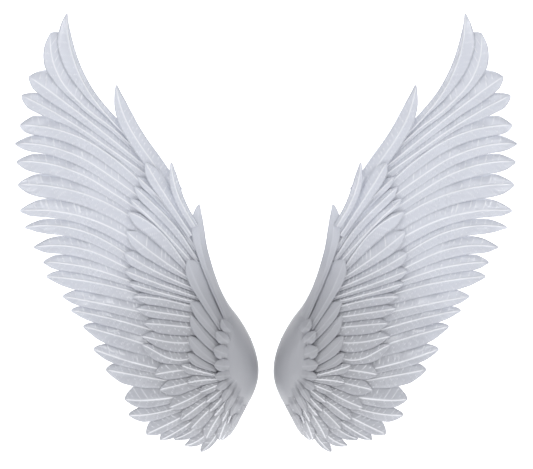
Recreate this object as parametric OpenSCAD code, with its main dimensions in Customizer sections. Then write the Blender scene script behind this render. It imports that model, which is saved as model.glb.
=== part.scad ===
// Feathered fairy wings for a costume: two moulded wings, each turning on its own vertical hinge,
// carried by a clear yoke plate with foam pads and shoulder straps.
// Units are millimetres. X runs across the wearer, Z up, and the feathered face looks along -Y.
// The origin is the middle of the face of the yoke plate that lies toward the wearer's back.

/* [Feathers] */
// thickness of a moulded feather
feather_thickness = 2.2; // [1.6:0.1:3]
// how far one edge of a feather stands above the other, so that each tucks under the next
feather_rise = 4.4; // [3.8:0.1:7]
// how much wider a feather is than the room between its neighbours, as a fraction
feather_lap = 0.12; // [0.02:0.01:0.2]
// height of each layer of feathers above the one under it
layer_step = 8.4; // [8:0.1:12]
// half the width of a feather's blunt tip
tip_half = 1.6; // [1:0.1:3]
// stretches every feather across the wearer
wing_span_scale = 1; // [0.8:0.01:1.25]
// stretches every feather up and down
wing_height_scale = 1; // [0.8:0.01:1.25]

/* [Shoulder shell] */
// height of the rounded shoulder above its rim
dome_height = 60; // [40:1:75]
// distance from the shoulder's middle at which the bulge has died away
dome_radius = 360; // [300:5:430]
// distance across the shoulder of its middle from the wearer's centre line
dome_middle = 95; // [80:1:120]
// width over which the shell rolls over to its inner rim
edge_roll = 70; // [50:1:90]
// depth of the inner rim in front of the yoke plate's wearer side
rim_depth = 20; // [19:0.5:26]
// wall of the shoulder shell
shell_wall = 3; // [2:0.1:4]
// how far the wing tips curve back toward the wearer
tip_sweep = 20; // [5:1:30]

/* [Root board and formers] */
// thickness of the board that closes the back of the shoulder
board_thickness = 3; // [2:0.1:5]
// thickness of each former between board and shell
former_thickness = 6; // [4:0.5:10]

/* [Spars] */
// radius of the tube that stiffens a wing
spar_radius = 4; // [3:0.1:5]
// length of a saddle that bonds a spar to the feathers
saddle_length = 30; // [20:1:40]

/* [Hinges] */
// distance of each hinge pin from the centre line
hinge_offset = 38; // [36:0.5:42]
// radius of a hinge pin
pin_radius = 3; // [2:0.1:4]
// radial room between a pin and the knuckles that turn on it
pin_clearance = 0.05; // [0.03:0.01:0.09]
// radius of a knuckle
knuckle_radius = 6; // [5:0.1:6.2]
// height of a hinge, shared by five knuckles
hinge_height = 110; // [90:1:120]
// gap between one knuckle and the next
knuckle_gap = 0.5; // [0.3:0.05:1]
// thickness of a hinge leaf
leaf_thickness = 2.5; // [2:0.1:3]
// width of the leaf that carries a wing
wing_leaf_width = 54; // [40:1:60]
// radius of a rivet or screw shank
shank_radius = 2; // [1.5:0.1:2.4]

/* [Yoke] */
// width of the clear yoke plate
plate_width = 160; // [140:1:180]
// height of the clear yoke plate
plate_height = 150; // [136:1:170]
// thickness of the clear yoke plate
plate_thickness = 4; // [3:0.1:4.5]
// width of a foam back pad
pad_width = 42; // [32:1:44]
// height of a foam back pad
pad_height = 84; // [70:1:86]
// thickness of a foam back pad
pad_thickness = 16; // [8:1:24]

/* [Straps] */
// width of the webbing
web_width = 25; // [20:1:30]
// thickness of the webbing
web_thickness = 1.6; // [1:0.1:2.2]
// width of a shoulder pad
sleeve_width = 38; // [30:1:42]
// thickness of a shoulder pad
sleeve_thickness = 8; // [5:0.5:12]

/* [Hidden] */
$fn = 48;

hinge_depth = plate_thickness + 7;
leaf_front = hinge_depth + knuckle_radius + 0.5;
first_layer = feather_rise / 2 + 1.3;

// inner rim of a wing, as height and distance from the centre line
rim = [
  [-157, 92], [-153, 84], [-139, 73], [-121, 62], [-106, 55], [-86, 44], [-68, 35], [-57, 29],
  [-40, 22], [-18, 17], [4, 16], [22, 19], [46, 25], [66, 33], [88, 44], [110, 57], [132, 75],
  [152, 88], [169, 97], [191, 106], [216, 116], [242, 123], [275, 132], [304, 139], [330, 143],
  [359, 144]
];

// each feather: tip, a point its shaft runs through, root, and the free length of its edges
// on the side of the feather before it and the feather after it
flight_feathers = [
  [[443, 790], [403, 631], [272, 482], 90, 60],
  [[479, 746], [466, 662], [266, 464], 20, 90, 8],
  [[527, 649], [427, 577], [262, 445], 48, 46],
  [[543, 607], [427, 543], [258, 426], 42, 58],
  [[547, 541], [398, 506], [255, 392], 32, 36],
  [[557, 500], [420, 473], [252, 360], 38, 46],
  [[554, 460], [420, 436], [249, 330], 38, 52],
  [[551, 409], [392, 384], [246, 298], 42, 62],
  [[546, 351], [392, 333], [243, 250], 56, 46],
  [[535, 314], [398, 303], [254, 214], 44, 62],
  [[515, 270], [398, 264], [256, 195], 52, 38],
  [[494, 237], [387, 223], [256, 177], 28, 42],
  [[487, 205], [376, 191], [254, 159], 36, 72],
  [[451, 161], [343, 141], [226, 116], 40, 46],
  [[432, 130], [332, 110], [211, 76], 26, 58],
  [[405, 95], [310, 70], [207, 38], 32, 76],
  [[382, 45], [288, 15], [184, -6], 42, 70],
  [[354, 0], [277, -13], [180, -28], 32, 84],
  [[312, -65], [255, -66], [166, -54], 40, 46],
  [[303, -100], [244, -95], [152, -70], 40, 60],
  [[264, -142], [207, -114], [139, -78], 34, 34],
  [[233, -155], [185, -128], [124, -84], 18, 32],
  [[202, -153], [156, -128], [111, -88], 12, 46],
  [[178, -167], [134, -143], [98, -92], 38, 48],
  [[143, -180], [114, -150], [84, -95], 34, 44],
  [[97, -156], [84, -130], [66, -95], 20, 20]
];
great_feathers = [
  [[284, 425], [222, 363], [163, 281], 32, 30],
  [[290, 403], [207, 323], [160, 257], 26, 34],
  [[301, 376], [238, 317], [162, 236], 30, 40],
  [[306, 348], [233, 304], [166, 214], 38, 44],
  [[308, 304], [242, 251], [162, 198], 36, 50],
  [[312, 257], [240, 215], [154, 178], 40, 30],
  [[312, 218], [233, 188], [143, 158], 28, 28],
  [[304, 191], [233, 170], [138, 146], 26, 38],
  [[293, 161], [230, 156], [144, 136], 34, 40],
  [[286, 135], [212, 124], [148, 115], 36, 42],
  [[268, 103], [209, 99], [150, 93], 34, 36],
  [[273, 75], [205, 62], [148, 64], 34, 36],
  [[273, 56], [200, 24], [150, 36], 34, 60],
  [[244, -9], [196, 0], [140, 6], 50, 40],
  [[233, -42], [186, -30], [134, -18], 40, 42],
  [[212, -81], [172, -64], [126, -38], 40, 40],
  [[188, -109], [156, -84], [116, -54], 36, 34],
  [[165, -128], [139, -100], [104, -66], 32, 34],
  [[132, -151], [115, -118], [88, -76], 34, 38],
  [[103, -154], [92, -122], [74, -82], 34, 34]
];
mantle_feathers = [
  [[148, 365], [140, 260], [97, 138], 70, 70],
  [[172, 242], [147, 180], [100, 101], 46, 46],
  [[166, 150], [139, 116], [106, 80], 40, 40],
  [[165, 122], [138, 84], [106, 50], 40, 40],
  [[169, 75], [142, 44], [110, 20], 36, 36],
  [[170, 38], [146, 16], [112, 2], 32, 30],
  [[185, 12], [152, 2], [106, -10], 30, 30],
  [[172, -26], [142, -20], [101, -17], 34, 30],
  [[145, -47], [124, -38], [96, -26], 26, 26],
  [[131, -68], [113, -54], [90, -35], 24, 24],
  [[124, -88], [105, -69], [84, -43], 24, 22],
  [[113, -98], [97, -79], [82, -57], 22, 24],
  [[96, -112], [84, -88], [74, -64], 24, 24],
  [[84, -117], [75, -92], [66, -70], 22, 22],
  [[74, -104], [66, -86], [59, -72], 20, 20]
];
small_feathers = [
  [[97, 113], [88, 98], [78, 84], 20, 20],
  [[108, 86], [96, 74], [84, 62], 20, 20],
  [[114, 50], [99, 42], [84, 36], 20, 20],
  [[113, 15], [98, 12], [82, 10], 18, 18],
  [[111, -12], [96, -10], [79, -10], 18, 18],
  [[106, -38], [92, -28], [75, -18], 20, 20],
  [[94, -66], [83, -44], [68, -24], 24, 24],
  [[88, -89], [75, -60], [61, -34], 24, 24],
  [[77, -99], [66, -78], [54, -56], 20, 20],
  [[76, -123], [64, -104], [52, -82], 20, 20]
];
crest_feather = [[332, 629], [305, 541], [226, 420], 84, 84];
lobe_feather = [[209, 457], [197, 394], [167, 334], 60, 60];
bridge_feather = [[266, 457], [233, 402], [178, 318], 44, 40];

stretch = [wing_span_scale, wing_height_scale];

function flat_cross(p, q) = p[0] * q[1] - p[1] * q[0];
function grow(p) = [p[0] * stretch[0], p[1] * stretch[1]];
function rim_at(z) = lookup(z / stretch[1], rim) * stretch[0];
function from_middle(a, z) = norm([a / stretch[0] - dome_middle, z / stretch[1]]);
function bulge(r) = r < dome_radius ? dome_height * pow(1 - pow(r / dome_radius, 2), 2) : 0;
function roll(d) = d <= 0 ? 0 : d >= edge_roll ? 1 : sqrt(1 - pow(1 - d / edge_roll, 2));

// depth of the wing's carrying surface at a point, before the layers of feathers
function skin(a, z) =
  tip_sweep * pow(from_middle(a, z) / 870, 2)
  - rim_depth - bulge(from_middle(a, z)) * roll(a - rim_at(z));

function chord_of(f) = grow(f[0]) - grow(f[2]);
function along(f) = chord_of(f) / norm(chord_of(f));
function via_part(f) = (grow(f[1]) - grow(f[2])) * along(f) / norm(chord_of(f));
function via_off(f) = flat_cross(along(f), grow(f[1]) - grow(f[2]));
// the bow of a shaft away from its chord, deepest near the point the shaft runs through
function bow_shape(t, v) = v > 0.5 ? pow(t, min(2, v / (1 - v))) * (1 - t) : t * pow(1 - t, min(2, (1 - v) / v));
function bow(f, t) = via_off(f) * bow_shape(t, via_part(f)) / bow_shape(via_part(f), via_part(f));
function left_of(f) = [-along(f)[1], along(f)[0]];
function shaft(f, t) = grow(f[2]) + chord_of(f) * t + left_of(f) * bow(f, t);

// half the room toward a neighbour's shaft, never less than a sliver
function room(f, g, t) = max(least_half(f, t), 0.5 * (1 + feather_lap) * abs(flat_cross(shaft(g, t) - shaft(f, t), along(f))));
// a sixth entry in a feather's list is the least half width it keeps past its root
function least_half(f, t) = root_half + (len(f) > 5 ? (f[5] - root_half) * min(1, t / 0.4) : 0);
function taper(f, t, free) =
  let(s = min(1, (1 - t) * norm(chord_of(f)) / free))
  pow(sin(90 * s), 0.75);
function stations(f) =
  let(n = max(f[3], f[4]) / norm(chord_of(f)))
  let(m = min(0.6, n))
  [0, (1 - m) * 0.34, (1 - m) * 0.68, 1 - m, 1 - m * 0.55, 1 - m * 0.22, 1];

// one point of a feather's front or back: side -1 is toward the next feather, 1 toward the one before
function feather_point(f, t, side, width, free, lift, drop) =
  let(w = max(tip_half, width * taper(f, t, free)))
  let(p = shaft(f, t) + side_vector(f, side) * w)
  [p[0], skin(p[0], p[1]) - lift - rise_at(side, w, width) - drop, p[1]];
function side_vector(f, side) = left_of(f) * side;
function rise_at(side, w, width) = side == 0 ? 0 : -side * feather_rise / 2 * min(1, w / width);

function feather_face(f, before, after, lift, drop) = [
  for (t = stations(f))
    for (side = [1, 0, -1])
      feather_point(f, t, side, width_toward(f, side, t, before, after), side > 0 ? f[3] : f[4], lift, drop)
];
function width_toward(f, side, t, before, after) =
  side > 0 ? room_or(f, before, t) : side < 0 ? room_or(f, after, t) : 10;
// a stated width is given at the root and at the tip
function room_or(f, g, t) = is_num(g) ? g : is_num(g[0]) ? g[0] + (g[1] - g[0]) * t : room(f, g, t);

// a closed solid between a front grid of points and a matching back grid
module slab(front, back, cols) {
  n = len(front);
  rows = n / cols;
  quad = function(a, b, c, d) [[a, c, b], [a, d, c]];
  faces = [
    for (r = [0:rows - 2])
      for (c = [0:cols - 2])
        let(i = r * cols + c)
        each concat(
          quad(i, i + 1, i + cols + 1, i + cols),
          quad(n + i + cols, n + i + cols + 1, n + i + 1, n + i)
        ),
    for (r = [0:rows - 2])
      each concat(
        quad(r * cols, (r + 1) * cols, n + (r + 1) * cols, n + r * cols),
        quad((r + 1) * cols - 1, n + (r + 1) * cols - 1, n + (r + 2) * cols - 1, (r + 2) * cols - 1)
      ),
    for (c = [0:cols - 2])
      each concat(
        quad(c + 1, c, n + c, n + c + 1),
        quad(n - cols + c, n - cols + c + 1, 2 * n - cols + c + 1, 2 * n - cols + c)
      )
  ];
  polyhedron(points = concat(front, back), faces = faces);
}

module feather(f, before, after, lift) {
  slab(
    feather_face(f, before, after, lift, feather_thickness),
    feather_face(f, before, after, lift, 0),
    3
  );
}

// the feathers first..last of a row; the ends of the whole row take a stated width instead of a neighbour
module feather_row(row, first, last, edge_before, edge_after, layer) {
  lift = first_layer + layer * layer_step;
  for (i = [first:last]) {
    feather(
      row[i],
      i > 0 ? row[i - 1] : edge_before,
      i < len(row) - 1 ? row[i + 1] : edge_after,
      lift
    );
  }
}

module right_side(right) {
  if (right)
    children();
  else
    mirror([1, 0, 0])
      children();
}

module primaries(right) {
  color([0.84, 0.84, 0.9])
    right_side(right)
      feather_row(flight_feathers, 0, 8, [14, 8], 9, 0);
}

module secondaries(right) {
  color([0.84, 0.84, 0.9])
    right_side(right)
      feather_row(flight_feathers, 9, 18, 10, 9, 0);
}

module tertials(right) {
  color([0.84, 0.84, 0.9])
    right_side(right)
      feather_row(flight_feathers, 19, 25, 10, 9, 0);
}

module greater_coverts(right) {
  color([0.82, 0.82, 0.88])
    right_side(right)
      feather_row(great_feathers, 0, len(great_feathers) - 1, [14, 16], 12, 1);
}

module median_coverts(right) {
  color([0.8, 0.8, 0.86])
    right_side(right)
      feather_row(mantle_feathers, 6, 14, 12, 9, 2);
}

module scapulars(right) {
  color([0.8, 0.8, 0.86])
    right_side(right)
      feather_row(mantle_feathers, 0, 5, 12, 9, 2);
}

module lesser_coverts(right) {
  color([0.8, 0.8, 0.86])
    right_side(right)
      feather_row(small_feathers, 0, len(small_feathers) - 1, 13, 7, 3);
}

module leading_coverts(right) {
  color([0.82, 0.82, 0.88])
    right_side(right) {
      feather(crest_feather, [22, 18], 18, first_layer + layer_step);
      feather(bridge_feather, [13, 20], [10, 18], first_layer + 2 * layer_step);
      feather(lobe_feather, [8, 13], 11, first_layer + 3 * layer_step);
    }
}

// slices of the shoulder shell: height, width, how far it swells out toward the small feathers,
// how far from the centre line the swelling holds, and the distance over which it dies away
shell_slices = [
  [-146, 50, 0, 60, 30], [-130, 80, 0, 60, 30], [-110, 110, 0, 50, 20], [-94, 126, 5, 44, 12],
  [-84, 136, 16, 48, 16], [-72, 144, 20, 50, 38], [-60, 150, 23, 53, 52], [-35, 158, 25, 60, 42],
  [-10, 160, 25, 76, 40], [15, 160, 25, 80, 40], [40, 158, 25, 82, 38], [65, 154, 25, 82, 38],
  [90, 148, 24, 78, 38], [115, 138, 17, 88, 40], [140, 126, 12, 88, 30], [170, 112, 0, 100, 30],
  [205, 96, 0, 110, 30], [245, 76, 0, 120, 30], [290, 54, 0, 130, 30], [335, 30, 0, 140, 30]
];
shell_steps = [0, 0.02, 0.06, 0.12, 0.2, 0.3, 0.41, 0.53, 0.66, 0.82, 1];
root_half = 3;
swell_roll = 30;

// the shell swells quickly from its rim, so that the small feathers grow out of it
function swell(s, a, d) =
  let(past = max(0, a / stretch[0] - s[3]))
  s[2] * max(0, 1 - past / s[4]) * sqrt(1 - pow(1 - min(1, d / swell_roll), 2));
function shell_depth(s, a, d) = skin(a, s[0] * stretch[1]) - swell(s, a, d);
function shell_front(s, u) =
  let(z = s[0] * stretch[1], d = s[1] * stretch[0] * u, a = rim_at(z) + d)
  [a, shell_depth(s, a, d), z];
function shell_back(s, u) =
  let(z = s[0] * stretch[1], d = s[1] * stretch[0] * u, a = rim_at(z) + d)
  [a + shell_wall * (1 - roll(d)), shell_depth(s, a, d) + shell_wall * roll(d), z];

module shoulder_shell(right) {
  color([0.78, 0.78, 0.84])
    right_side(right)
      slab(
        [for (s = shell_slices) for (u = shell_steps) shell_front(s, u)],
        [for (s = shell_slices) for (u = shell_steps) shell_back(s, u)],
        len(shell_steps)
      );
}

board_outline = [
  [31, -34], [31, 34], [52, 84], [92, 140], [120, 196], [142, 190], [162, 120], [168, 40], [168, -30],
  [148, -74], [104, -98], [70, -94]
];
former_heights = [-62, 0, 62];
rivet_spots = [[62, -40], [62, 40], [84, -40], [84, 40], [73, 0]];

module root_board(right) {
  color([0.6, 0.6, 0.66])
    right_side(right)
      difference() {
        translate([0, -leaf_front, 0])
          rotate([90, 0, 0])
            linear_extrude(board_thickness)
              polygon([for (p = board_outline) grow(p)]);
        for (p = rivet_spots) {
          translate([p[0], -leaf_front + 1, p[1]])
            rotate([90, 0, 0])
              cylinder(r = shank_radius, h = board_thickness + 2);
        }
      }
}

module formers(right) {
  color([0.55, 0.55, 0.62])
    right_side(right)
      for (z = former_heights) {
        h = z * stretch[1];
        low = rim_at(h) + 24;
        high = 158 * stretch[0];
        steps = [for (i = [0:6]) low + (high - low) * i / 6];
        top = [for (a = steps) [a, skin(a, h) + shell_wall + 1.6]];
        base = -leaf_front - board_thickness - 2.2;
        translate([0, 0, h - former_thickness / 2])
          linear_extrude(former_thickness)
            polygon(concat([[low, base]], top, [[high, base]]));
      }
}

function knuckle_height() = (hinge_height - 4 * knuckle_gap) / 5;
function knuckle_base(k) = -hinge_height / 2 + k * (knuckle_height() + knuckle_gap);

module knuckle(k) {
  translate([hinge_offset, -hinge_depth, knuckle_base(k)])
    cylinder(r = knuckle_radius, h = knuckle_height());
}

module pin_bore(radius) {
  translate([hinge_offset, -hinge_depth, -hinge_height / 2 - 1])
    cylinder(r = radius, h = hinge_height + 2);
}

screw_spots = [-44, 0, 44];
yoke_leaf_width = 28;

module yoke_hinge(right) {
  color([0.75, 0.76, 0.78])
    right_side(right)
      difference() {
        union() {
          translate([hinge_offset + knuckle_radius + 1, -plate_thickness - leaf_thickness, -hinge_height / 2])
            cube([yoke_leaf_width - knuckle_radius - 1, leaf_thickness, hinge_height]);
          for (k = [0, 2, 4]) {
            knuckle(k);
            translate([hinge_offset, -plate_thickness - leaf_thickness, knuckle_base(k)])
              cube([knuckle_radius + 2, leaf_thickness, knuckle_height()]);
          }
        }
        pin_bore(pin_radius + 0.02);
        for (z = screw_spots) {
          translate([screw_column(), -plate_thickness + 1, z])
            rotate([90, 0, 0])
              cylinder(r = shank_radius, h = leaf_thickness + 2);
        }
      }
}
function screw_column() = hinge_offset + yoke_leaf_width - 8;

module wing_hinge(right) {
  color([0.75, 0.76, 0.78])
    right_side(right)
      difference() {
        union() {
          translate([hinge_offset + knuckle_radius + 1, -leaf_front, -hinge_height / 2])
            cube([wing_leaf_width - knuckle_radius - 1, leaf_thickness, hinge_height]);
          for (k = [1, 3]) {
            knuckle(k);
            translate([hinge_offset, -leaf_front, knuckle_base(k)])
              cube([knuckle_radius + 2, leaf_thickness, knuckle_height()]);
          }
        }
        pin_bore(pin_radius + pin_clearance);
        for (p = rivet_spots) {
          translate([p[0], -leaf_front + leaf_thickness + 1, p[1]])
            rotate([90, 0, 0])
              cylinder(r = shank_radius, h = leaf_thickness + 2);
        }
      }
}

module hinge_pin(right) {
  color([0.65, 0.66, 0.68])
    right_side(right)
      translate([hinge_offset, -hinge_depth, 0]) {
        translate([0, 0, -hinge_height / 2 - 3])
          cylinder(r = pin_radius, h = hinge_height + 3);
        translate([0, 0, hinge_height / 2])
          cylinder(r = pin_radius + 1.5, h = 2.5);
        translate([0, 0, -hinge_height / 2 - 2.5])
          cylinder(r = pin_radius + 1, h = 2.5);
      }
}

module leaf_rivets(right) {
  color([0.65, 0.66, 0.68])
    right_side(right)
      for (p = rivet_spots) {
        translate([p[0], -leaf_front - board_thickness, p[1]])
          rotate([-90, 0, 0]) {
            cylinder(r = shank_radius, h = board_thickness + leaf_thickness);
            translate([0, 0, -1.5])
              cylinder(r = shank_radius + 2, h = 1.5);
            translate([0, 0, board_thickness + leaf_thickness])
              cylinder(r = shank_radius + 2, h = 1.5);
          }
      }
}

module hinge_screws() {
  color([0.65, 0.66, 0.68])
    for (s = [-1, 1]) {
      for (z = screw_spots) {
        translate([s * screw_column(), -plate_thickness - leaf_thickness, z])
          rotate([-90, 0, 0]) {
            cylinder(r = shank_radius, h = leaf_thickness + plate_thickness - 0.4);
            translate([0, 0, -1.6])
              cylinder(r = shank_radius + 1.6, h = 1.6);
          }
      }
    }
}

clamp_height = plate_height / 2 - 14;
clamp_length = 46;
clamp_screw_offset = 18;
strap_column = 56;

module plate_corner_round(w, h, r) {
  hull() {
    for (x = [-1, 1]) {
      for (y = [-1, 1]) {
        translate([x * (w / 2 - r), y * (h / 2 - r)])
          circle(r = r);
      }
    }
  }
}

module yoke_plate() {
  color([0.85, 0.92, 0.95, 0.35])
    difference() {
      rotate([90, 0, 0])
        linear_extrude(plate_thickness)
          plate_corner_round(plate_width, plate_height, 14);
      for (s = [-1, 1]) {
        for (z = screw_spots) {
          translate([s * screw_column(), 1, z])
            rotate([90, 0, 0])
              cylinder(r = shank_radius, h = plate_thickness + 2);
        }
        for (e = [-1, 1]) {
          for (o = [-1, 1]) {
            translate([s * strap_column + o * clamp_screw_offset, 1, e * clamp_height])
              rotate([90, 0, 0])
                cylinder(r = shank_radius, h = plate_thickness + 2);
          }
        }
      }
    }
}

module back_pads() {
  color([0.86, 0.86, 0.88])
    for (s = [-1, 1]) {
      translate([s * (22 + pad_width / 2), pad_thickness, 0])
        rotate([90, 0, 0])
          linear_extrude(pad_thickness)
            plate_corner_round(pad_width, pad_height, 13);
    }
}

module strap_clamps() {
  color([0.8, 0.81, 0.83])
    for (s = [-1, 1]) {
      for (e = [-1, 1]) {
        translate([s * strap_column, 0, e * clamp_height])
          difference() {
            translate([-clamp_length / 2, 0, -7])
              cube([clamp_length, web_thickness + 3, 14]);
            translate([-web_width / 2 - 0.5, -1, -8])
              cube([web_width + 1, web_thickness + 1.3, 16]);
            for (o = [-1, 1]) {
              translate([o * clamp_screw_offset, -1, 0])
                rotate([-90, 0, 0])
                  cylinder(r = shank_radius, h = web_thickness + 6);
            }
          }
      }
    }
}

module clamp_screws() {
  color([0.65, 0.66, 0.68])
    for (s = [-1, 1]) {
      for (e = [-1, 1]) {
        for (o = [-1, 1]) {
          translate([s * strap_column + o * clamp_screw_offset, 0, e * clamp_height])
            rotate([-90, 0, 0]) {
              translate([0, 0, 0.4 - plate_thickness])
                cylinder(r = shank_radius, h = plate_thickness + web_thickness + 2.6);
              translate([0, 0, web_thickness + 3])
                cylinder(r = shank_radius + 1.6, h = 1.6);
            }
        }
      }
    }
}

// the run of webbing over one shoulder, from the upper clamp round to the slider
web_rest = 0.15 + web_thickness / 2;
upper_path = [
  [56, web_rest, clamp_height - 12], [56, web_rest, clamp_height + 10], [62, 6, clamp_height + 25],
  [80, 19, 108], [98, 34, 134], [114, 56, 155], [124, 86, 166], [127, 116, 159], [125, 142, 136],
  [121, 160, 102], [116, 171, 56], [113, 174, 6], [112, 173, -24]
];
lower_path = [
  [111, 172.5, -40], [109, 168, -66], [104, 152, -94], [96, 122, -116], [85, 84, -122],
  [71, 42, -110], [61, 12, -94], [56, 1.5 + web_rest, -clamp_height - 18],
  [56, web_rest, -clamp_height - 9], [56, web_rest, -clamp_height + 12]
];

function run_at(path, i) =
  let(a = path[max(0, i - 1)], b = path[min(len(path) - 1, i + 1)])
  let(v = [0, b[1] - a[1], b[2] - a[2]])
  v / norm(v);
function over(path, i) = [0, run_at(path, i)[2], -run_at(path, i)[1]];

// a flat ribbon along a path, its width along X, set out from the path along the ribbon's own face
module ribbon(path, width, thickness, out) {
  last = len(path) - 1;
  low = [for (i = [0:last]) for (s = [-1, 1]) path[i] + [s * width / 2, 0, 0] + over(path, i) * (out - thickness / 2)];
  high = [for (i = [0:last]) for (s = [-1, 1]) path[i] + [s * width / 2, 0, 0] + over(path, i) * (out + thickness / 2)];
  slab(low, high, 2);
}

module strap(right) {
  color([0.9, 0.9, 0.92])
    right_side(right)
      ribbon(upper_path, web_width, web_thickness, 0);
}

module lower_strap(right) {
  color([0.9, 0.9, 0.92])
    right_side(right)
      ribbon(lower_path, web_width, web_thickness, 0);
}

module shoulder_pad(right) {
  inset = [for (i = [4:10]) upper_path[i]];
  color([0.86, 0.86, 0.88])
    right_side(right)
      ribbon(inset, sleeve_width, sleeve_thickness, (web_thickness + sleeve_thickness) / 2 + 0.4);
}

module strap_sliders() {
  color([0.92, 0.92, 0.94])
    for (s = [-1, 1]) {
      translate([s * 111.5, 177.2, -32])
        difference() {
          translate([-web_width / 2 - 5, -2.5, -15])
            cube([web_width + 10, 5, 30]);
          translate([-web_width / 2 - 1, -4, 3])
            cube([web_width + 2, 8, 9]);
          translate([-web_width / 2 - 1, -4, -12])
            cube([web_width + 2, 8, 9]);
        }
    }
}

// spars run behind the feathers: each point is a place on the wing
spar_runs = [
  [[112, 60], [160, 170], [236, 330], [338, 520]],
  [[120, 20], [176, -10], [250, -20], [322, -24]],
  [[126, 48], [196, 116], [290, 190], [410, 262]]
];
function spar_depth(a, z) = max(skin(a, z) + shell_wall + spar_radius + 1.2, -leaf_front + spar_radius + 0.3);
function spar_point(p) = [grow(p)[0], spar_depth(grow(p)[0], grow(p)[1]), grow(p)[1]];

module tube_between(p, q, r, from, to) {
  v = q - p;
  translate(p)
    rotate([0, acos(v[2] / norm(v)), atan2(v[1], v[0])])
      translate([0, 0, from])
        cylinder(r = r, h = to - from);
}

// a bent tube through a run of points, twelve-sided and closed at both ends
tube_sides = 12;
function unit(v) = v / norm(v);
function tube_heading(run, i) = unit(
  (i > 0 ? unit(run[i] - run[i - 1]) : [0, 0, 0])
  + (i < len(run) - 1 ? unit(run[i + 1] - run[i]) : [0, 0, 0])
);
function tube_ring(run, i, r) =
  let(w = tube_heading(run, i), u = unit(cross(w, [0, 1, 0])), n = cross(w, u))
  [for (k = [0:tube_sides - 1]) run[i] + (u * cos(360 * k / tube_sides) + n * sin(360 * k / tube_sides)) * r];

module bent_tube(run, r) {
  last = len(run) - 1;
  points = [for (i = [0:last]) each tube_ring(run, i, r)];
  walls = [
    for (i = [0:last - 1])
      for (k = [0:tube_sides - 1])
        let(a = i * tube_sides + k, b = i * tube_sides + (k + 1) % tube_sides)
        each [[a, b + tube_sides, b], [a, a + tube_sides, b + tube_sides]]
  ];
  root_cap = [for (k = [0:tube_sides - 1]) k];
  tip_cap = [for (k = [tube_sides - 1:-1:0]) last * tube_sides + k];
  polyhedron(points = points, faces = concat(walls, [root_cap, tip_cap]));
}

module spars(right) {
  color([0.72, 0.73, 0.76])
    right_side(right)
      for (run = spar_runs) {
        bent_tube([for (p = run) spar_point(p)], spar_radius);
      }
}

saddle_places = [[0, 1, 0.55], [0, 2, 0.3], [0, 2, 0.75], [1, 2, 0.4], [2, 2, 0.2], [2, 2, 0.7]];

module spar_saddles(right) {
  color([0.8, 0.8, 0.84])
    right_side(right)
      for (s = saddle_places) {
        p = spar_point(spar_runs[s[0]][s[1]]);
        q = spar_point(spar_runs[s[0]][s[1] + 1]);
        v = q - p;
        mid = norm(v) * s[2];
        difference() {
          translate(p)
            rotate([0, acos(v[2] / norm(v)), atan2(v[1], v[0])])
              translate([0, 0, mid])
                cylinder(r = spar_radius + 2.5, h = saddle_length, center = true);
          tube_between(p, q, spar_radius + 0.02, mid - saddle_length, mid + saddle_length);
        }
      }
}

module primaries_left() { primaries(false); }
module primaries_right() { primaries(true); }
module secondaries_left() { secondaries(false); }
module secondaries_right() { secondaries(true); }
module tertials_left() { tertials(false); }
module tertials_right() { tertials(true); }
module greater_coverts_left() { greater_coverts(false); }
module greater_coverts_right() { greater_coverts(true); }
module median_coverts_left() { median_coverts(false); }
module median_coverts_right() { median_coverts(true); }
module lesser_coverts_left() { lesser_coverts(false); }
module lesser_coverts_right() { lesser_coverts(true); }
module scapulars_left() { scapulars(false); }
module scapulars_right() { scapulars(true); }
module leading_coverts_left() { leading_coverts(false); }
module leading_coverts_right() { leading_coverts(true); }
module shoulder_shell_left() { shoulder_shell(false); }
module shoulder_shell_right() { shoulder_shell(true); }
module root_board_left() { root_board(false); }
module root_board_right() { root_board(true); }
module formers_left() { formers(false); }
module formers_right() { formers(true); }
module spars_left() { spars(false); }
module spars_right() { spars(true); }
module spar_saddles_left() { spar_saddles(false); }
module spar_saddles_right() { spar_saddles(true); }
module wing_hinge_left() { wing_hinge(false); }
module wing_hinge_right() { wing_hinge(true); }
module leaf_rivets_left() { leaf_rivets(false); }
module leaf_rivets_right() { leaf_rivets(true); }
module yoke_hinge_left() { yoke_hinge(false); }
module yoke_hinge_right() { yoke_hinge(true); }
module hinge_pin_left() { hinge_pin(false); }
module hinge_pin_right() { hinge_pin(true); }
module strap_left() { strap(false); }
module strap_right() { strap(true); }
module lower_strap_left() { lower_strap(false); }
module lower_strap_right() { lower_strap(true); }
module shoulder_pad_left() { shoulder_pad(false); }
module shoulder_pad_right() { shoulder_pad(true); }

yoke_plate();
back_pads();
yoke_hinge_left();
yoke_hinge_right();
hinge_pin_left();
hinge_pin_right();
hinge_screws();
strap_left();
strap_right();
lower_strap_left();
lower_strap_right();
shoulder_pad_left();
shoulder_pad_right();
strap_sliders();
strap_clamps();
clamp_screws();
wing_hinge_left();
leaf_rivets_left();
root_board_left();
formers_left();
shoulder_shell_left();
spars_left();
spar_saddles_left();
primaries_left();
secondaries_left();
tertials_left();
greater_coverts_left();
median_coverts_left();
lesser_coverts_left();
scapulars_left();
leading_coverts_left();
wing_hinge_right();
leaf_rivets_right();
root_board_right();
formers_right();
shoulder_shell_right();
spars_right();
spar_saddles_right();
primaries_right();
secondaries_right();
tertials_right();
greater_coverts_right();
median_coverts_right();
lesser_coverts_right();
scapulars_right();
leading_coverts_right();
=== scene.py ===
import math
import bmesh
import bpy
import numpy as np
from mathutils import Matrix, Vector
from mathutils.bvhtree import BVHTree


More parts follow.
